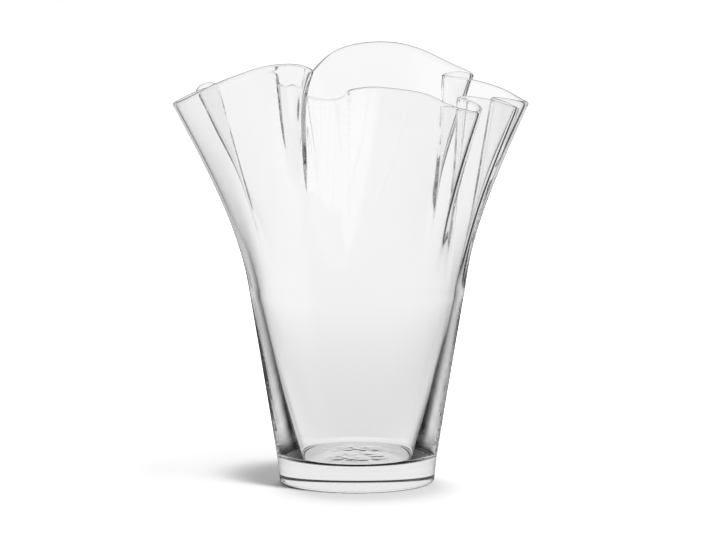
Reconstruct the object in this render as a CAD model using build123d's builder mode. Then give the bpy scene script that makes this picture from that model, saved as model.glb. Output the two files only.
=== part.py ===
from build123d import *
import os
from math import cos, radians, sin, sqrt

# Fan vase of clear hand-blown glass: a heavy round base, a tapering wall, a flared and pleated mouth.
# Millimetres, +Z up. The origin is the centre of the flat underside and the front faces -Y.

# Overall form
overall_height = 279
rim_reach = 111
rim_depth = 84
rim_rise = 42

# Round lower body, measured on the outside of the glass
foot_radius = 48.4
shoulder_radius = 69
shoulder_height = 124

# Glass thickness, from the rim down to the base
rim_wall = 2.4
shoulder_wall = 6
base_wall = 12.6
lip_height = 1.3

# How far the front left lobe rolls over to the right in the last stretch below the rim
curl_reach = 7

# Base
base_height = 34
floor_height = 16.4
floor_corner_radius = 4
foot_edge_radius = 2

# Heel: how far the outside of the base stands out from the cone at the underside, and where it runs into it
heel_reach = 1.1
heel_height = 22

# How the wall runs between those sizes
round_shares = (0, 0.33, 0.67)
climb_shares = (0, 0.14, 0.28, 0.42, 0.56, 0.7, 0.82, 0.91, 0.96, 1)
flare_start_share = 0.3
flare_middle_share = 0.5
lower_thinning = 1.5
upper_thinning = 1.25
curl_power = 10
curl_shares = {238: 0.3, 242.5: 0.75, 245.5: 1, 248: 0.9, 250.5: 0.45, 252.8: 0.1}
lip_angles = (0, 45, 90, 135, 180)

# The rim, station by station, counterclockwise from the left tip. Each row has the turn on the round
# shoulder that the glass comes up from, in degrees, then the share of the reach to the right, the
# share of the depth to the back and the share of the rise above the lowest point of the rim.
rim_shares = (
    # wide front left lobe, from the left tip to the curled edge of the front pleat
    (180, -1.04, -0.015, 0.11),
    (186, -1.005, -0.17, 0.14),
    (196, -0.88, -0.42, 0.31),
    (205, -0.775, -0.585, 0.45),
    (214, -0.64, -0.745, 0.595),
    (223, -0.505, -0.86, 0.71),
    (232, -0.372, -0.935, 0.75),
    (238, -0.3, -0.965, 0.73),
    (242.5, -0.26, -0.95, 0.69),
    (245.5, -0.25, -0.905, 0.645),
    # deep front pleat, a round trough that runs down the wall
    (248, -0.27, -0.84, 0.565),
    (250.5, -0.295, -0.755, 0.46),
    (252.8, -0.305, -0.68, 0.38),
    (255, -0.29, -0.61, 0.295),
    (257.3, -0.24, -0.555, 0.23),
    (260, -0.173, -0.537, 0.2),
    (262.5, -0.112, -0.54, 0.21),
    (265, -0.064, -0.585, 0.275),
    (267.3, -0.042, -0.665, 0.343),
    # wide front right lobe
    (271, 0.005, -0.775, 0.385),
    (276, 0.093, -0.9, 0.415),
    (283.5, 0.225, -0.965, 0.39),
    (292.5, 0.383, -0.935, 0.31),
    (299.5, 0.495, -0.87, 0.167),
    (306, 0.595, -0.785, 0.076),
    (311, 0.66, -0.715, 0.042),
    (314.5, 0.685, -0.665, 0.069),
    # narrow pleat at the front right
    (317.5, 0.673, -0.61, 0.13),
    (320.5, 0.63, -0.587, 0.188),
    (323.3, 0.583, -0.556, 0.219),
    (325, 0.567, -0.507, 0.224),
    (327, 0.588, -0.46, 0.24),
    # small right lobe
    (330, 0.639, -0.442, 0.233),
    (335.5, 0.745, -0.438, 0.188),
    (340.5, 0.853, -0.415, 0.102),
    (344, 0.903, -0.354, 0.06),
    (347, 0.877, -0.293, 0.09),
    # narrow pleat at the right
    (350, 0.83, -0.274, 0.145),
    (352.8, 0.786, -0.24, 0.183),
    (354.6, 0.768, -0.194, 0.2),
    (356.6, 0.789, -0.15, 0.196),
    # right lobe, round to the back
    (359.5, 0.847, -0.118, 0.176),
    (363.5, 0.922, -0.075, 0.138),
    (368, 0.97, 0.015, 0.114),
    (374, 0.95, 0.168, 0.138),
    (382, 0.87, 0.365, 0.25),
    (390, 0.76, 0.515, 0.352),
    (396, 0.645, 0.6, 0.417),
    # pleat at the back right
    (400.5, 0.558, 0.617, 0.447),
    (403.5, 0.509, 0.663, 0.475),
    (406, 0.537, 0.716, 0.497),
    (409.5, 0.614, 0.747, 0.512),
    # highest lobe, across the back
    (413, 0.677, 0.792, 0.472),
    (416, 0.664, 0.853, 0.507),
    (422, 0.553, 0.907, 0.638),
    (429.5, 0.405, 0.96, 0.824),
    (437.5, 0.256, 0.99, 0.942),
    (445.5, 0.107, 0.99, 0.965),
    (453.5, -0.03, 0.968, 0.919),
    (461.5, -0.155, 0.915, 0.788),
    (468, -0.243, 0.83, 0.58),
    # round pleat at the back left
    (473, -0.307, 0.73, 0.407),
    (477, -0.365, 0.663, 0.286),
    (480.5, -0.423, 0.648, 0.28),
    (483.5, -0.465, 0.686, 0.363),
    # lobe at the back left
    (486.5, -0.475, 0.747, 0.468),
    (490, -0.544, 0.785, 0.505),
    (495, -0.66, 0.762, 0.419),
    (500.5, -0.796, 0.716, 0.289),
    (505, -0.894, 0.663, 0.207),
    (508, -0.933, 0.617, 0.229),
    # pleat at the left, and back to the left tip
    (511, -0.914, 0.571, 0.317),
    (514.3, -0.86, 0.533, 0.367),
    (517.5, -0.814, 0.488, 0.333),
    (521, -0.821, 0.427, 0.307),
    (526.5, -0.88, 0.32, 0.293),
    (533.5, -0.967, 0.183, 0.205),
)

station_count = len(rim_shares)
highest_share = max(row[3] for row in rim_shares)
rim_low_height = overall_height - lip_height - rim_rise * highest_share
wall_slope = (shoulder_radius - foot_radius) / shoulder_height
full_turn = 360


def outer_radius(height):
    # the straight outside of the round lower body
    return foot_radius + wall_slope * height


def lower_wall(share):
    # glass thickness of the round body, share of the way from the base's top to the shoulder
    return shoulder_wall + (base_wall - shoulder_wall) * (1 - share) ** lower_thinning


def upper_wall(climb):
    # glass thickness above the shoulder, climb of the way up to the rim
    return rim_wall + (shoulder_wall - rim_wall) * (1 - climb) ** upper_thinning


def round_ring(share, side):
    # points of a level ring on the round body, side 0 on the outside and 1 on the inside
    height = base_height + (shoulder_height - base_height) * share
    radius = outer_radius(height) - lower_wall(share) * side
    return [Vector(radius * cos(radians(row[0])), radius * sin(radians(row[0])), height) for row in rim_shares]


def rim_point(row):
    # middle of the glass at the rim's edge
    turn, across, deep, rise = row
    return Vector(rim_reach * across, rim_depth * deep, rim_low_height + rim_rise * rise)


def curl(row):
    # the roll of the rim at a station, which fades out a little below it
    return Vector(curl_reach * curl_shares.get(row[0], 0), 0, 0)


def climb_curve(row):
    # the four control points that one station of the wall climbs along before the roll is added
    turn = radians(row[0])
    outward = Vector(cos(turn), sin(turn), 0)
    start = outward * (shoulder_radius - shoulder_wall / 2) + Vector(0, 0, shoulder_height)
    end = rim_point(row) - curl(row)
    lift = (end - start).length * flare_start_share
    leave = start + (outward * wall_slope + Vector(0, 0, 1)).normalized() * lift
    return start, leave, leave + (end - leave) * flare_middle_share, end


def climb_point(row, climb):
    # middle of the glass, climb of the way from the shoulder to the rim
    start, leave, bend, end = climb_curve(row)
    stay = 1 - climb
    lower = start * stay**3 + leave * (3 * climb * stay**2)
    upper = bend * (3 * climb**2 * stay) + end * climb**3
    return lower + upper + curl(row) * climb**curl_power


def climb_direction(row, climb):
    start, leave, bend, end = climb_curve(row)
    stay = 1 - climb
    pull = (leave - start) * stay**2 + (bend - leave) * (2 * climb * stay) + (end - bend) * climb**2
    roll = curl(row) * (curl_power / 3 * climb ** (curl_power - 1))
    return (pull + roll).normalized()


# Every ring is a closed curve through the stations, at marks set by the spacing along the rim
rim_points = [rim_point(row) for row in rim_shares]
station_steps = [sqrt((rim_points[(i + 1) % station_count] - rim_points[i]).length) for i in range(station_count)]
ring_marks = [sum(station_steps[:i]) for i in range(station_count + 1)]


def outward_normals(climb):
    # unit vectors square to the glass at each station
    points = [climb_point(row, climb) for row in rim_shares]
    normals = []
    for i, row in enumerate(rim_shares):
        step_in = station_steps[i - 1]
        step_out = station_steps[i]
        arriving = (points[i] - points[i - 1]) * (step_out / step_in)
        leaving = (points[(i + 1) % station_count] - points[i]) * (step_in / step_out)
        normals.append((arriving + leaving).cross(climb_direction(row, climb)).normalized())
    return normals


def climb_ring(climb, side):
    # points of a ring above the shoulder, side 0 on the outside and 1 on the inside
    shift = upper_wall(climb) * (0.5 - side)
    normals = outward_normals(climb)
    return [climb_point(row, climb) + normal * shift for row, normal in zip(rim_shares, normals)]


def lip_ring(angle):
    # points of a ring round the lip, from the outer edge at 0 over the top to the inner edge at 180
    aside = rim_wall / 2 * cos(radians(angle))
    up = lip_height * sin(radians(angle))
    normals = outward_normals(1)
    return [
        rim_point(row) + normal * aside + climb_direction(row, 1) * up
        for row, normal in zip(rim_shares, normals)
    ]


def closed_ring(points):
    # one smooth closed curve through the stations
    return Wire([Edge.make_spline(points, periodic=True, parameters=ring_marks)])


def skin(rings):
    # one smooth surface through rings of points
    return Shell.make_loft([closed_ring(points) for points in rings])


def wall_skin(side):
    rings = [round_ring(share, side) for share in round_shares]
    rings += [climb_ring(climb, side) for climb in climb_shares]
    return skin(rings)


def rim_seam():
    # the narrow face across the glass where the wall ends and the lip begins
    return Shell.make_loft([closed_ring(climb_ring(1, 0)), closed_ring(climb_ring(1, 1))], ruled=True)


def glass_solid(*surfaces):
    return Solid(Shell([face for surface in surfaces for face in surface.faces()]))


foot_seam = Face(closed_ring(round_ring(0, 0)), [closed_ring(round_ring(0, 1))])

# Base: the solid bottom with a flat ground underside, a steep heel and a rounded inner corner
heel_foot_radius = foot_radius + heel_reach
heel_bend_radius = outer_radius(heel_height / 2)
heel_top_radius = outer_radius(heel_height)
seat_outer_radius = outer_radius(base_height)
seat_inner_radius = seat_outer_radius - base_wall
inner_slope = wall_slope + lower_thinning * (base_wall - shoulder_wall) / (shoulder_height - base_height)
floor_corner = seat_inner_radius - inner_slope * (base_height - floor_height)

with BuildPart() as base:
    with BuildSketch(Plane.XZ) as base_section:
        with BuildLine() as base_outline:
            Line((0, 0), (heel_foot_radius, 0))
            Bezier((heel_foot_radius, 0), (heel_bend_radius, heel_height / 2), (heel_top_radius, heel_height))
            Polyline(
                (heel_top_radius, heel_height),
                (seat_outer_radius, base_height),
                (seat_inner_radius, base_height),
                (floor_corner, floor_height),
                (0, floor_height),
                (0, 0),
            )
        make_face()
        corner_vertex = base_section.vertices().sort_by_distance((floor_corner, floor_height))[0]
        fillet(corner_vertex, radius=floor_corner_radius)
    revolve(axis=Axis.Z, revolution_arc=full_turn)
    foot_edge = base.edges().filter_by(GeomType.CIRCLE).sort_by(Axis.Z)[0]
    fillet(foot_edge, radius=foot_edge_radius)

# Body: the blown wall, round below and folded into six pleats at the mouth
with BuildPart() as body:
    add(glass_solid(wall_skin(0), wall_skin(1), foot_seam, rim_seam()))

# Rim: the rounded, fire-polished lip along the whole pleated edge
with BuildPart() as rim:
    add(glass_solid(skin([lip_ring(angle) for angle in lip_angles]), rim_seam()))

os.makedirs("parts", exist_ok=True)
base.part.label = "base"
export_step(base.part, "parts/base.step")
body.part.label = "body"
export_step(body.part, "parts/body.step")
rim.part.label = "rim"
export_step(rim.part, "parts/rim.step")
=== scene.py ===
from math import atan, cos, pi, radians, sin, tan

import bpy
import numpy as np
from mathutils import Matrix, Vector


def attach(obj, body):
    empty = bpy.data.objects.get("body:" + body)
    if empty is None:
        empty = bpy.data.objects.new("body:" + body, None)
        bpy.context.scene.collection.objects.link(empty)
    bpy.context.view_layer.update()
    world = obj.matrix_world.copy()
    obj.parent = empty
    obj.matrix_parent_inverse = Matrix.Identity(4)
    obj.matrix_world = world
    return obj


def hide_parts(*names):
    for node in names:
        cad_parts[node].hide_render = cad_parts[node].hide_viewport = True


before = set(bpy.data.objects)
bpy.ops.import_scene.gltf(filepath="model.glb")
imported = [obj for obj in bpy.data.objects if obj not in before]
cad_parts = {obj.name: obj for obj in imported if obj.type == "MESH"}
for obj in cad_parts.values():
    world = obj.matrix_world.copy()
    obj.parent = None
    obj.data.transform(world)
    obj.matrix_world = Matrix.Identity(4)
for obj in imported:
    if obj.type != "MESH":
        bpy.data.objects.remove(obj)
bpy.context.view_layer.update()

mm = 0.001


def linearColour(hexText):
    # sRGB hex to the linear numbers that shaders take
    parts = [int(hexText[i:i + 2], 16) / 255 for i in (1, 3, 5)]
    parts = [p / 12.92 if p <= 0.04045 else ((p + 0.055) / 1.055) ** 2.4 for p in parts]
    return (*parts, 1)


def addNode(tree, kind, settings, links):
    # keys are attributes of the node, or names or numbers of its sockets
    node = tree.nodes.new(kind)
    for name, value in settings.items():
        if isinstance(name, str) and hasattr(node, name):
            setattr(node, name, value)
        else:
            node.inputs[name].default_value = value
    for name, source in links.items():
        tree.links.new(source, node.inputs[name])
    return node


# the vase, in millimetres, the same sizes as its solids
vase = {
    "height": 279, "reach": 111, "depth": 84, "rise": 42,
    "footRadius": 48.4, "shoulderRadius": 69, "shoulderHeight": 124,
    "rimWall": 2.4, "shoulderWall": 6, "baseWall": 12.6, "lipHeight": 1.3,
    "baseHeight": 34, "floorHeight": 16.4, "floorCorner": 4, "footEdge": 2,
    "heelReach": 1.1, "heelHeight": 22,
    "flareStart": 0.3, "flareMiddle": 0.5, "lowerThinning": 1.5, "upperThinning": 1.25,
    "curlReach": 7, "curlPower": 10,
    "curlShares": {238: 0.3, 242.5: 0.75, 245.5: 1, 248: 0.9, 250.5: 0.45, 252.8: 0.1},
    "columnsPerStation": 7, "climbRows": 56, "roundRows": 26, "arcRows": 10, "lipRows": 10,
    "discRows": 12, "heelRows": 20,
}

# the rim, counterclockwise from the left tip: turn on the shoulder in degrees, share of the reach to the
# right, share of the depth to the back, share of the rise
rimShares = np.array([
    # front left lobe
    (180, -1.04, -0.015, 0.11), (186, -1.005, -0.17, 0.14), (196, -0.88, -0.42, 0.31),
    (205, -0.775, -0.585, 0.45), (214, -0.64, -0.745, 0.595), (223, -0.505, -0.86, 0.71),
    (232, -0.372, -0.935, 0.75), (238, -0.3, -0.965, 0.73), (242.5, -0.26, -0.95, 0.69),
    (245.5, -0.25, -0.905, 0.645),
    # deep front pleat
    (248, -0.27, -0.84, 0.565), (250.5, -0.295, -0.755, 0.46), (252.8, -0.305, -0.68, 0.38),
    (255, -0.29, -0.61, 0.295), (257.3, -0.24, -0.555, 0.23), (260, -0.173, -0.537, 0.2),
    (262.5, -0.112, -0.54, 0.21), (265, -0.064, -0.585, 0.275), (267.3, -0.042, -0.665, 0.343),
    # front right lobe
    (271, 0.005, -0.775, 0.385), (276, 0.093, -0.9, 0.415), (283.5, 0.225, -0.965, 0.39),
    (292.5, 0.383, -0.935, 0.31), (299.5, 0.495, -0.87, 0.167), (306, 0.595, -0.785, 0.076),
    (311, 0.66, -0.715, 0.042), (314.5, 0.685, -0.665, 0.069),
    # narrow pleat at the front right
    (317.5, 0.673, -0.61, 0.13), (320.5, 0.63, -0.587, 0.188), (323.3, 0.583, -0.556, 0.219),
    (325, 0.567, -0.507, 0.224), (327, 0.588, -0.46, 0.24),
    # small right lobe
    (330, 0.639, -0.442, 0.233), (335.5, 0.745, -0.438, 0.188), (340.5, 0.853, -0.415, 0.102),
    (344, 0.903, -0.354, 0.06), (347, 0.877, -0.293, 0.09),
    # narrow pleat at the right
    (350, 0.83, -0.274, 0.145), (352.8, 0.786, -0.24, 0.183), (354.6, 0.768, -0.194, 0.2),
    (356.6, 0.789, -0.15, 0.196),
    # right lobe, round to the back
    (359.5, 0.847, -0.118, 0.176), (363.5, 0.922, -0.075, 0.138), (368, 0.97, 0.015, 0.114),
    (374, 0.95, 0.168, 0.138), (382, 0.87, 0.365, 0.25), (390, 0.76, 0.515, 0.352),
    (396, 0.645, 0.6, 0.417),
    # pleat at the back right
    (400.5, 0.558, 0.617, 0.447), (403.5, 0.509, 0.663, 0.475), (406, 0.537, 0.716, 0.497),
    (409.5, 0.614, 0.747, 0.512),
    # highest lobe, across the back
    (413, 0.677, 0.792, 0.472), (416, 0.664, 0.853, 0.507), (422, 0.553, 0.907, 0.638),
    (429.5, 0.405, 0.96, 0.824), (437.5, 0.256, 0.99, 0.942), (445.5, 0.107, 0.99, 0.965),
    (453.5, -0.03, 0.968, 0.919), (461.5, -0.155, 0.915, 0.788), (468, -0.243, 0.83, 0.58),
    # round pleat at the back left
    (473, -0.307, 0.73, 0.407), (477, -0.365, 0.663, 0.286), (480.5, -0.423, 0.648, 0.28),
    (483.5, -0.465, 0.686, 0.363),
    # lobe at the back left
    (486.5, -0.475, 0.747, 0.468), (490, -0.544, 0.785, 0.505), (495, -0.66, 0.762, 0.419),
    (500.5, -0.796, 0.716, 0.289), (505, -0.894, 0.663, 0.207), (508, -0.933, 0.617, 0.229),
    # pleat at the left
    (511, -0.914, 0.571, 0.317), (514.3, -0.86, 0.533, 0.367), (517.5, -0.814, 0.488, 0.333),
    (521, -0.821, 0.427, 0.307), (526.5, -0.88, 0.32, 0.293), (533.5, -0.967, 0.183, 0.205),
])


def unitRows(vectors):
    return vectors / np.linalg.norm(vectors, axis=1)[:, None]


def stationWeights(steps, perStation):
    # matrix that turns values at the stations into values on a smooth closed curve through them
    count = len(steps)
    before = np.roll(steps, 1)
    bendLeft = np.zeros((count, count))
    bendRight = np.zeros((count, count))
    for i in range(count):
        ahead = (i + 1) % count
        bendLeft[i, i - 1] += before[i]
        bendLeft[i, i] += 2 * (before[i] + steps[i])
        bendLeft[i, ahead] += steps[i]
        bendRight[i, i - 1] += 6 / before[i]
        bendRight[i, i] -= 6 / before[i] + 6 / steps[i]
        bendRight[i, ahead] += 6 / steps[i]
    bends = np.linalg.solve(bendLeft, bendRight)
    rows = []
    for i in range(count):
        ahead = (i + 1) % count
        for j in range(perStation):
            b = j / perStation
            a = 1 - b
            row = np.zeros(count)
            row[i] += a
            row[ahead] += b
            row += ((a**3 - a) * bends[i] + (b**3 - b) * bends[ahead]) * steps[i] ** 2 / 6
            rows.append(row)
    return np.array(rows)


def vaseRows(v):
    # every level ring of the closed skin, from the centre of the underside, up the outside, over the lip,
    # down the inside and to the centre of the inner floor
    up = np.array([0.0, 0.0, 1.0])
    turns = np.radians(rimShares[:, 0])
    outward = np.stack([np.cos(turns), np.sin(turns), np.zeros(len(turns))], 1)
    lowRim = v["height"] - v["lipHeight"] - v["rise"] * rimShares[:, 3].max()
    rim = np.stack([v["reach"] * rimShares[:, 1], v["depth"] * rimShares[:, 2],
                    lowRim + v["rise"] * rimShares[:, 3]], 1)
    steps = np.sqrt(np.linalg.norm(np.roll(rim, -1, 0) - rim, axis=1))
    spread = stationWeights(steps, v["columnsPerStation"])
    slope = (v["shoulderRadius"] - v["footRadius"]) / v["shoulderHeight"]

    # each station climbs along a bezier in the middle of the glass, and one lobe rolls over near the rim
    rollShares = np.array([v["curlShares"].get(turn, 0) for turn in rimShares[:, 0]])
    roll = np.outer(v["curlReach"] * rollShares, (1, 0, 0))
    start = outward * (v["shoulderRadius"] - v["shoulderWall"] / 2) + up * v["shoulderHeight"]
    end = rim - roll
    lift = np.linalg.norm(end - start, axis=1)[:, None] * v["flareStart"]
    leave = start + unitRows(outward * slope + up) * lift
    bend = leave + (end - leave) * v["flareMiddle"]

    def climbDirection(climb):
        stay = 1 - climb
        pull = (leave - start) * stay**2 + (bend - leave) * 2 * climb * stay + (end - bend) * climb**2
        return unitRows(pull + roll * v["curlPower"] / 3 * climb ** (v["curlPower"] - 1))

    def climbPoints(climb):
        stay = 1 - climb
        lower = start * stay**3 + leave * 3 * climb * stay**2
        return lower + bend * 3 * climb**2 * stay + end * climb**3 + roll * climb ** v["curlPower"]

    def climbNormals(climb):
        points = climbPoints(climb)
        before = np.roll(steps, 1)
        arriving = (points - np.roll(points, 1, 0)) * (steps / before)[:, None]
        leaving = (np.roll(points, -1, 0) - points) * (before / steps)[:, None]
        return unitRows(np.cross(arriving + leaving, climbDirection(climb)))

    def climbRow(climb, side):
        wall = v["rimWall"] + (v["shoulderWall"] - v["rimWall"]) * (1 - climb) ** v["upperThinning"]
        return spread @ (climbPoints(climb) + climbNormals(climb) * wall * (0.5 - side))

    def lipRow(angle):
        aside = v["rimWall"] / 2 * cos(angle)
        return spread @ (rim + climbNormals(1) * aside + climbDirection(1) * v["lipHeight"] * sin(angle))

    def levelRow(radius, height):
        return spread @ (outward * radius + up * height)

    def outerRadius(height):
        # the heel stands out from the cone and runs into it
        heel = v["heelReach"] * max(0, 1 - height / v["heelHeight"]) ** 2
        return v["footRadius"] + slope * height + heel

    def wallRow(share, side):
        height = v["baseHeight"] + (v["shoulderHeight"] - v["baseHeight"]) * share
        wall = v["shoulderWall"] + (v["baseWall"] - v["shoulderWall"]) * (1 - share) ** v["lowerThinning"]
        return levelRow(outerRadius(height) - wall * side, height)

    # rounded foot edge and rounded inner corner, each tangent to the lines that it joins
    footTurn = pi / 2 - atan(slope - 2 * v["heelReach"] / v["heelHeight"])
    footMiddle = outerRadius(0) - v["footEdge"] * tan(footTurn / 2)
    innerSlope = slope + v["lowerThinning"] * (v["baseWall"] - v["shoulderWall"]) / (
        v["shoulderHeight"] - v["baseHeight"])
    seatRadius = outerRadius(v["baseHeight"]) - v["baseWall"]
    cornerRadius = seatRadius - innerSlope * (v["baseHeight"] - v["floorHeight"])
    cornerTurn = pi / 2 - atan(innerSlope)
    cornerMiddle = cornerRadius - v["floorCorner"] * tan(cornerTurn / 2)

    rows = []
    for i in range(1, v["discRows"]):
        rows.append(levelRow(footMiddle * i / v["discRows"], 0))
    for i in range(v["arcRows"] + 1):
        angle = footTurn * i / v["arcRows"] - pi / 2
        rows.append(levelRow(footMiddle + v["footEdge"] * cos(angle), v["footEdge"] * (1 + sin(angle))))
    heelFoot = rows[-1][0, 2]
    for i in range(1, v["heelRows"] + 1):
        height = heelFoot + (v["baseHeight"] - heelFoot) * i / v["heelRows"]
        rows.append(levelRow(outerRadius(height), height))
    for i in range(1, v["roundRows"]):
        rows.append(wallRow(i / v["roundRows"], 0))
    for i in range(v["climbRows"] + 1):
        rows.append(climbRow(i / v["climbRows"], 0))
    for i in range(1, v["lipRows"]):
        rows.append(lipRow(pi * i / v["lipRows"]))
    for i in range(v["climbRows"] + 1):
        rows.append(climbRow(1 - i / v["climbRows"], 1))
    for i in range(1, v["roundRows"] + 1):
        rows.append(wallRow(1 - i / v["roundRows"], 1))
    for i in range(v["arcRows"] + 1):
        angle = cornerTurn * (1 - i / v["arcRows"]) - pi / 2
        height = v["floorHeight"] + v["floorCorner"] * (1 + sin(angle))
        rows.append(levelRow(cornerMiddle + v["floorCorner"] * cos(angle), height))
    for i in range(1, v["discRows"]):
        rows.append(levelRow(cornerMiddle * (1 - i / v["discRows"]), v["floorHeight"]))
    return rows


def makeVase(v):
    rows = vaseRows(v)
    columns = len(rows[0])
    points = np.concatenate(rows + [np.array([[0, 0, 0], [0, 0, v["floorHeight"]]], float)]) * mm
    faces = []
    for i in range(len(rows) - 1):
        for j in range(columns):
            k = (j + 1) % columns
            faces.append((i * columns + j, i * columns + k, (i + 1) * columns + k, (i + 1) * columns + j))
    underside = len(rows) * columns
    innerFloor = underside + 1
    last = (len(rows) - 1) * columns
    for j in range(columns):
        k = (j + 1) % columns
        faces.append((underside, k, j))
        faces.append((last + j, last + k, innerFloor))
    mesh = bpy.data.meshes.new("vase_glass")
    mesh.from_pydata(points.tolist(), [], faces)
    mesh.validate()
    mesh.polygons.foreach_set("use_smooth", [True] * len(mesh.polygons))
    mesh.update()
    piece = bpy.data.objects.new("vase_glass", mesh)
    bpy.context.collection.objects.link(piece)
    print("vase skin", len(points), "points", len(faces), "faces")
    return piece


# hand-blown soda-lime glass, fire-polished: clear and colourless, a little grey where it is thick, with the
# faint long waves that blowing and reheating leave and a swirl on the thick inner floor; thin glass lets
# lamp light through and the base shades it
blownGlass = {
    "tint": "#ffffff", "ior": 1.5, "roughLow": 0.0, "roughHigh": 0.01,
    "thickTint": "#e0e0e0", "absorption": 5.0,
    "waveWidth": 16, "waveLength": 70, "waveHeight": 0.007, "waveDetail": 1.0,
    "swirlWidth": 11, "swirlHeight": 0.5, "swirlTwist": 1.2,
    "swirlReach": 27, "swirlFull": 15, "swirlAbove": 10,
    "shadeHeight": 10, "clearHeight": 48, "shadeShare": 0.0, "clearShare": 0.99,
}


def makeBlownGlass(g):
    material = bpy.data.materials.new("hand_blown_soda_lime_glass")
    material.use_nodes = True
    tree = material.node_tree
    tree.nodes.clear()
    place = addNode(tree, "ShaderNodeTexCoord", {}, {})
    stretch = addNode(tree, "ShaderNodeMapping", {
        "Scale": (1 / (g["waveWidth"] * mm), 1 / (g["waveWidth"] * mm), 1 / (g["waveLength"] * mm))},
        {"Vector": place.outputs["Object"]})
    waves = addNode(tree, "ShaderNodeTexNoise", {"Scale": 1.0, "Detail": g["waveDetail"]}, {
        "Vector": stretch.outputs["Vector"]})
    bump = addNode(tree, "ShaderNodeBump", {"Strength": 1.0, "Distance": g["waveHeight"] * mm},
                   {"Height": waves.outputs["Fac"]})
    # the swirl lies on the inner floor only, strongest in the middle
    parts = addNode(tree, "ShaderNodeSeparateXYZ", {}, {0: place.outputs["Object"]})
    flat = addNode(tree, "ShaderNodeVectorMath", {"operation": "MULTIPLY", 1: (1, 1, 0)}, {
        0: place.outputs["Object"]})
    reach = addNode(tree, "ShaderNodeVectorMath", {"operation": "LENGTH"}, {0: flat.outputs["Vector"]})
    middle = addNode(tree, "ShaderNodeMapRange", {
        "interpolation_type": "SMOOTHSTEP", "From Min": g["swirlReach"] * mm,
        "From Max": g["swirlFull"] * mm}, {"Value": reach.outputs["Value"]})
    above = addNode(tree, "ShaderNodeMath", {"operation": "GREATER_THAN", 1: g["swirlAbove"] * mm}, {
        0: parts.outputs["Z"]})
    onFloor = addNode(tree, "ShaderNodeMath", {"operation": "MULTIPLY"}, {
        0: middle.outputs["Result"], 1: above.outputs["Value"]})
    swirl = addNode(tree, "ShaderNodeTexNoise", {
        "Scale": 1 / (g["swirlWidth"] * mm), "Detail": 0.0, "Distortion": g["swirlTwist"]}, {
        "Vector": place.outputs["Object"]})
    ripple = addNode(tree, "ShaderNodeMath", {"operation": "MULTIPLY"}, {
        0: swirl.outputs["Fac"], 1: onFloor.outputs["Value"]})
    swirled = addNode(tree, "ShaderNodeBump", {"Strength": 1.0, "Distance": g["swirlHeight"] * mm},
                      {"Height": ripple.outputs["Value"], "Normal": bump.outputs["Normal"]})
    rough = addNode(tree, "ShaderNodeMapRange", {"To Min": g["roughLow"], "To Max": g["roughHigh"]},
                    {"Value": waves.outputs["Fac"]})
    surface = addNode(tree, "ShaderNodeBsdfPrincipled", {
        "Base Color": linearColour(g["tint"]), "IOR": g["ior"], "Transmission Weight": 1.0},
        {"Normal": swirled.outputs["Normal"], "Roughness": rough.outputs["Result"]})
    share = addNode(tree, "ShaderNodeMapRange", {
        "interpolation_type": "SMOOTHSTEP", "From Min": g["shadeHeight"] * mm,
        "From Max": g["clearHeight"] * mm, "To Min": g["shadeShare"], "To Max": g["clearShare"]}, {
        "Value": parts.outputs["Z"]})
    path = addNode(tree, "ShaderNodeLightPath", {}, {})
    lampShare = addNode(tree, "ShaderNodeMath", {"operation": "MULTIPLY"}, {
        0: path.outputs["Is Shadow Ray"], 1: share.outputs["Result"]})
    clear = addNode(tree, "ShaderNodeBsdfTransparent", {"Color": (1, 1, 1, 1)}, {})
    both = addNode(tree, "ShaderNodeMixShader", {}, {
        0: lampShare.outputs["Value"], 1: surface.outputs["BSDF"], 2: clear.outputs["BSDF"]})
    inside = addNode(tree, "ShaderNodeVolumeAbsorption", {
        "Color": linearColour(g["thickTint"]), "Density": g["absorption"]}, {})
    addNode(tree, "ShaderNodeOutputMaterial", {}, {
        "Surface": both.outputs["Shader"], "Volume": inside.outputs["Volume"]})
    return material


glassPiece = makeVase(vase)
glassPiece.data.materials.append(makeBlownGlass(blownGlass))
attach(glassPiece, "root")
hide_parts("base", "body", "rim")
print("glass done")


# white studio: how bright it is at each angle up or down in degrees, for light that crossed the hollow of
# the vase, for light that met one wall or the base only, and for reflections
studio = {
    "floorSize": 40.0, "floorColour": "#f2f2f2", "floorGlow": 0.03, "fillLevel": 0.08,
    "whiteNear": 0.12, "whiteFar": 0.4,
    "hollowLevels": {-60: 1.0, -27: 1.0, -15: 0.835, -8: 0.99, 0: 1.0, 5: 0.92, 12: 0.75, 20: 0.3, 28: 0.06,
                     80: 0.03},
    "solidLevels": {-80: 0.03, -50: 0.06, -38: 0.6, -27: 0.95, -15: 0.85, -8: 0.97, 0: 1.0, 14: 1.0,
                    26: 0.85, 36: 0.4, 50: 0.08, 80: 0.04},
    "mirrorLevels": {-60: 0.9, -44: 0.8, -32: 0.1, -10: 0.1, -3: 0.5, 30: 0.5},
}

# black cards stand low down all round, as a photographer sets them to draw the edges of clear glass; light
# that was thrown back inside one wall or the base sees solid and eyeLevel, and all other light sees hollow
cards = {
    "hollow": {"bright": 0.1, "top": -5, "topFull": -11, "foot": -38, "footFull": -30,
               "gaps": ("backLow", "left", "backLeftTable", "frontRightTable")},
    "solid": {"bright": 0.01, "top": -4, "topFull": -9, "foot": -52, "footFull": -44,
              "gaps": ("back", "left")},
    "eyeLevel": {"bright": 0.01, "top": 16, "topFull": 9, "foot": -9, "footFull": -4,
                 "gaps": ("wideBack", "wideLeft")},
}

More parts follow.
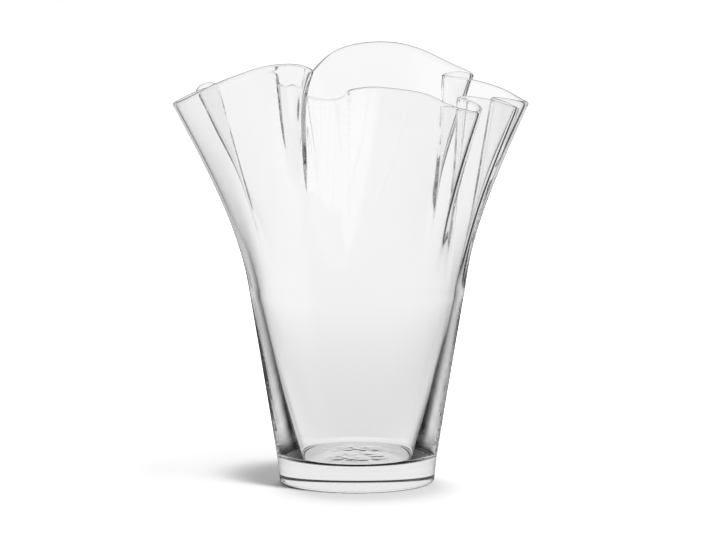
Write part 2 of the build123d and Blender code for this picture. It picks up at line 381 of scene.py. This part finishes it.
# gaps between the cards: direction, angle that is fully open, angle where the card is whole again; a level
# gap is the same at every height and the others are round
gaps = {
    "back": {"towards": (0, 1, 0), "open": 12, "shut": 44, "level": True},
    "left": {"towards": (-1, 0, 0), "open": 12, "shut": 44, "level": True},
    "backLow": {"towards": (0, 1, -0.12), "open": 22, "shut": 42, "level": False},
    "wideBack": {"towards": (0, 1, 0), "open": 57, "shut": 64, "level": True},
    "wideLeft": {"towards": (-1, 0, 0), "open": 57, "shut": 64, "level": True},
    "backLeftTable": {"towards": (-1, 1, -0.82), "open": 9, "shut": 17, "level": False},
    "frontRightTable": {"towards": (1, -1, -0.38), "open": 16, "shut": 28, "level": False},
}


# going in and out of one wall is two passes, and a turn is one reflection inside the glass
glassLight = {"passesBelow": 3.0, "turnsAbove": 0.5}


def countGlassLight(tree, path):
    oneWall = addNode(tree, "ShaderNodeMath", {"operation": "LESS_THAN", 1: glassLight["passesBelow"]}, {
        0: path.outputs["Transmission Depth"]})
    turned = addNode(tree, "ShaderNodeMath", {"operation": "GREATER_THAN", 1: glassLight["turnsAbove"]}, {
        0: path.outputs["Glossy Depth"]})
    inGlass = addNode(tree, "ShaderNodeMath", {"operation": "MULTIPLY"}, {
        0: oneWall.outputs["Value"], 1: turned.outputs["Value"]})
    return oneWall.outputs["Value"], inGlass.outputs["Value"]


def makeWorld(s):
    world = bpy.data.worlds.new("studio")
    bpy.context.scene.world = world
    world.use_nodes = True
    tree = world.node_tree
    tree.nodes.clear()
    ray = addNode(tree, "ShaderNodeTexCoord", {}, {}).outputs["Generated"]
    height = addNode(tree, "ShaderNodeSeparateXYZ", {}, {0: ray}).outputs["Z"]
    flat = addNode(tree, "ShaderNodeVectorMath", {"operation": "MULTIPLY", 1: (1, 1, 0)}, {0: ray})
    level = addNode(tree, "ShaderNodeVectorMath", {"operation": "NORMALIZE"}, {0: flat.outputs["Vector"]})
    path = addNode(tree, "ShaderNodeLightPath", {}, {})

    cardLevels = {}
    for name, row in cards.items():
        under = addNode(tree, "ShaderNodeMapRange", {
            "interpolation_type": "SMOOTHSTEP", "From Min": sin(radians(row["top"])),
            "From Max": sin(radians(row["topFull"]))}, {"Value": height})
        over = addNode(tree, "ShaderNodeMapRange", {
            "interpolation_type": "SMOOTHSTEP", "From Min": sin(radians(row["foot"])),
            "From Max": sin(radians(row["footFull"]))}, {"Value": height})
        card = addNode(tree, "ShaderNodeMath", {"operation": "MULTIPLY"}, {
            0: under.outputs["Result"], 1: over.outputs["Result"]})
        for gapName in row["gaps"]:
            gap = gaps[gapName]
            towards = np.array(gap["towards"]) / np.linalg.norm(gap["towards"])
            sight = level.outputs["Vector"] if gap["level"] else ray
            facing = addNode(tree, "ShaderNodeVectorMath", {
                "operation": "DOT_PRODUCT", 1: tuple(towards)}, {0: sight})
            whole = addNode(tree, "ShaderNodeMapRange", {
                "interpolation_type": "SMOOTHSTEP", "From Min": cos(radians(gap["open"])),
                "From Max": cos(radians(gap["shut"]))}, {"Value": facing.outputs["Value"]})
            card = addNode(tree, "ShaderNodeMath", {"operation": "MULTIPLY"}, {
                0: card.outputs["Value"], 1: whole.outputs["Result"]})
        shade = addNode(tree, "ShaderNodeMapRange", {"To Min": 1.0, "To Max": row["bright"]}, {
            "Value": card.outputs["Value"]})
        cardLevels[name] = shade.outputs["Result"]
    oneWall, inGlass = countGlassLight(tree, path)
    solidCards = addNode(tree, "ShaderNodeMath", {"operation": "MULTIPLY"}, {
        0: cardLevels["solid"], 1: cardLevels["eyeLevel"]})
    cardLevel = addNode(tree, "ShaderNodeMix", {}, {
        0: inGlass, 2: cardLevels["hollow"], 3: solidCards.outputs["Value"]})

    spot = addNode(tree, "ShaderNodeMapRange", {"From Min": -1.0, "From Max": 1.0}, {"Value": height})
    walls = []
    for levels in (s["hollowLevels"], s["solidLevels"], s["mirrorLevels"]):
        wall = addNode(tree, "ShaderNodeValToRGB", {}, {"Fac": spot.outputs["Result"]})
        stops = wall.color_ramp.elements
        wall.color_ramp.interpolation = "EASE"
        for degrees, bright in levels.items():
            stop = stops.new((sin(radians(degrees)) + 1) / 2)
            stop.color = (bright, bright, bright, 1)
        stops[0].color = stops[1].color
        stops[-1].color = stops[-2].color
        walls.append(wall.outputs["Color"])
    wall = addNode(tree, "ShaderNodeMix", {}, {0: oneWall, 2: walls[0], 3: walls[1]})
    seen = addNode(tree, "ShaderNodeMath", {"operation": "MULTIPLY"}, {
        0: wall.outputs[0], 1: cardLevel.outputs[0]}).outputs["Value"]
    glossy = addNode(tree, "ShaderNodeMix", {2: s["fillLevel"]}, {
        0: path.outputs["Is Glossy Ray"], 3: walls[2]})
    through = addNode(tree, "ShaderNodeMix", {}, {
        0: path.outputs["Is Transmission Ray"], 2: glossy.outputs[0], 3: seen})
    white = addNode(tree, "ShaderNodeMix", {3: 1.0}, {
        0: path.outputs["Is Camera Ray"], 2: through.outputs[0]})
    back = addNode(tree, "ShaderNodeBackground", {"Color": (1, 1, 1, 1)}, {"Strength": white.outputs[0]})
    addNode(tree, "ShaderNodeOutputWorld", {}, {"Surface": back.outputs["Background"]})


def makeFloor(s):
    size = s["floorSize"] / 2
    mesh = bpy.data.meshes.new("studio_floor")
    corners = [(-size, -size, 0), (size, -size, 0), (size, size, 0), (-size, size, 0)]
    mesh.from_pydata(corners, [], [(0, 1, 2, 3)])
    floor = bpy.data.objects.new("studio_floor", mesh)
    bpy.context.collection.objects.link(floor)
    floor.visible_glossy = False  # the glass sees the white room and its cards instead
    floor.visible_transmission = False
    material = bpy.data.materials.new("matt_white_board")
    material.use_nodes = True
    tree = material.node_tree
    tree.nodes.clear()
    place = addNode(tree, "ShaderNodeNewGeometry", {}, {})
    reach = addNode(tree, "ShaderNodeVectorMath", {"operation": "LENGTH"}, {0: place.outputs["Position"]})
    far = addNode(tree, "ShaderNodeMapRange", {
        "interpolation_type": "SMOOTHSTEP", "From Min": s["whiteNear"], "From Max": s["whiteFar"],
        "To Min": s["floorGlow"], "To Max": 1.0}, {"Value": reach.outputs["Value"]})
    path = addNode(tree, "ShaderNodeLightPath", {}, {})
    glow = addNode(tree, "ShaderNodeMath", {"operation": "MULTIPLY"}, {
        0: path.outputs["Is Camera Ray"], 1: far.outputs["Result"]})
    shine = addNode(tree, "ShaderNodeEmission", {"Color": (1, 1, 1, 1)}, {
        "Strength": glow.outputs["Value"]})
    board = addNode(tree, "ShaderNodeBsdfDiffuse", {"Color": linearColour(s["floorColour"])}, {})
    both = addNode(tree, "ShaderNodeAddShader", {}, {
        0: shine.outputs["Emission"], 1: board.outputs["BSDF"]})
    addNode(tree, "ShaderNodeOutputMaterial", {}, {"Surface": both.outputs["Shader"]})
    mesh.materials.append(material)


# painted shade: a dark disc round the foot, seen only by light inside the solid glass, stands for the table
# close to the foot lying in the vase's own shade
footShade = {
    "radius": 150, "darkRadius": 62, "clearRadius": 104, "height": -0.5, "corners": 48, "bright": 0.01,
}


def makeFootShade(f):
    corners = []
    for i in range(f["corners"]):
        turn = 2 * pi * i / f["corners"]
        corners.append((f["radius"] * mm * cos(turn), f["radius"] * mm * sin(turn), f["height"] * mm))
    mesh = bpy.data.meshes.new("foot_shade")
    mesh.from_pydata(corners, [], [tuple(range(f["corners"]))])
    disc = bpy.data.objects.new("foot_shade", mesh)
    bpy.context.collection.objects.link(disc)
    disc.visible_camera = False
    disc.visible_diffuse = False
    disc.visible_glossy = False
    disc.visible_shadow = False
    # painted shade on the disc: dark near the foot, clear farther out, only for light thrown back inside
    # the glass
    material = bpy.data.materials.new("painted_shade_disc")
    material.use_nodes = True
    tree = material.node_tree
    tree.nodes.clear()
    place = addNode(tree, "ShaderNodeNewGeometry", {}, {})
    reach = addNode(tree, "ShaderNodeVectorMath", {"operation": "LENGTH"}, {0: place.outputs["Position"]})
    dark = addNode(tree, "ShaderNodeMapRange", {
        "interpolation_type": "SMOOTHSTEP", "From Min": f["clearRadius"] * mm,
        "From Max": f["darkRadius"] * mm}, {"Value": reach.outputs["Value"]})
    path = addNode(tree, "ShaderNodeLightPath", {}, {})
    inGlass = countGlassLight(tree, path)[1]
    share = addNode(tree, "ShaderNodeMath", {"operation": "MULTIPLY"}, {
        0: dark.outputs["Result"], 1: inGlass})
    clear = addNode(tree, "ShaderNodeBsdfTransparent", {"Color": (1, 1, 1, 1)}, {})
    black = addNode(tree, "ShaderNodeEmission", {"Color": (1, 1, 1, 1), "Strength": f["bright"]}, {})
    both = addNode(tree, "ShaderNodeMixShader", {}, {
        0: share.outputs["Value"], 1: clear.outputs["BSDF"], 2: black.outputs["Emission"]})
    addNode(tree, "ShaderNodeOutputMaterial", {}, {"Surface": both.outputs["Shader"]})
    mesh.materials.append(material)


lampAim = (0, 0, 0.1)
lamps = {
    "right_softbox": {"place": (1.5, -1.3, 1.6), "size": 0.6, "power": 74.0},
    "back_softbox": {"place": (-0.4, 1.7, 1.9), "size": 1.4, "power": 36.0},
}


def makeLamps(rows):
    for name, row in rows.items():
        light = bpy.data.lights.new(name, "AREA")
        light.size = row["size"]
        light.energy = row["power"]
        lamp = bpy.data.objects.new(name, light)
        bpy.context.collection.objects.link(lamp)
        lamp.location = row["place"]
        lamp.visible_glossy = False  # no lamp shows as a spot on the glass
        lamp.visible_transmission = False
        toAim = Vector(lampAim) - Vector(row["place"])
        lamp.rotation_euler = toAim.to_track_quat("-Z", "Y").to_euler()


makeWorld(studio)
makeFloor(studio)
makeFootShade(footShade)
makeLamps(lamps)
bpy.context.scene.view_settings.view_transform = "Standard"
bounces = {"all": 160, "glossy": 120, "transmission": 40}  # light runs a long way inside folded glass
bpy.context.scene.cycles.max_bounces = bounces["all"]
bpy.context.scene.cycles.glossy_bounces = bounces["glossy"]
bpy.context.scene.cycles.transmission_bounces = bounces["transmission"]
bpy.context.scene.cycles.caustics_refractive = False  # the glass lets the lamps through by itself
bpy.context.scene.cycles.caustics_reflective = False
print("studio done")


# long lens a little above the rim, tipped down; the picture is 716 by 540 pixels
view = {
    "place": (0.00066, -1.9371, 0.33446), "tip": 5.854,
    "focalPixels": 3051.4, "pictureWidth": 716, "sensor": 36, "clipEnd": 100,
}


def makeCamera(c):
    data = bpy.data.cameras.new("photo_view")
    data.sensor_fit = "HORIZONTAL"
    data.sensor_width = c["sensor"]
    data.lens = c["focalPixels"] / c["pictureWidth"] * c["sensor"]
    data.clip_end = c["clipEnd"]
    camera = bpy.data.objects.new("photo_view", data)
    bpy.context.collection.objects.link(camera)
    camera.location = c["place"]
    camera.rotation_euler = (pi / 2 - radians(c["tip"]), 0, 0)
    bpy.context.scene.camera = camera


makeCamera(view)
print("camera done")
